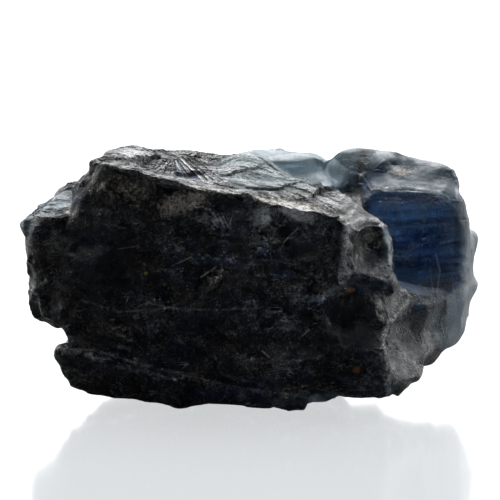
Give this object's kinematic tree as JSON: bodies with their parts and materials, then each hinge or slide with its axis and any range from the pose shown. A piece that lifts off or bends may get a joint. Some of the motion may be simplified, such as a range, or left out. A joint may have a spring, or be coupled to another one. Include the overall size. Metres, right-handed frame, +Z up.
{
  "type": "rough sapphire crystal",
  "caption": "Rough, dark blue-black sapphire crystal with parting ledges, flaked faces and pale see-through edges, resting on a small flat spot.",
  "frame": {"origin": "middle of the stone's box, on the surface it rests on", "axes": "+X along the stone's length, +Y away from the pictured face, +Z up"},
  "size_m": [0.0324, 0.02, 0.0174],
  "materials": {
    "sapphire": "broken corundum, near black with a blue cast, glassy on fresh breaks and dull grey where it is scratched"
  },
  "bodies": {
    "root": {"sapphire_crystal": "sapphire"}
  },
  "joints": []
}
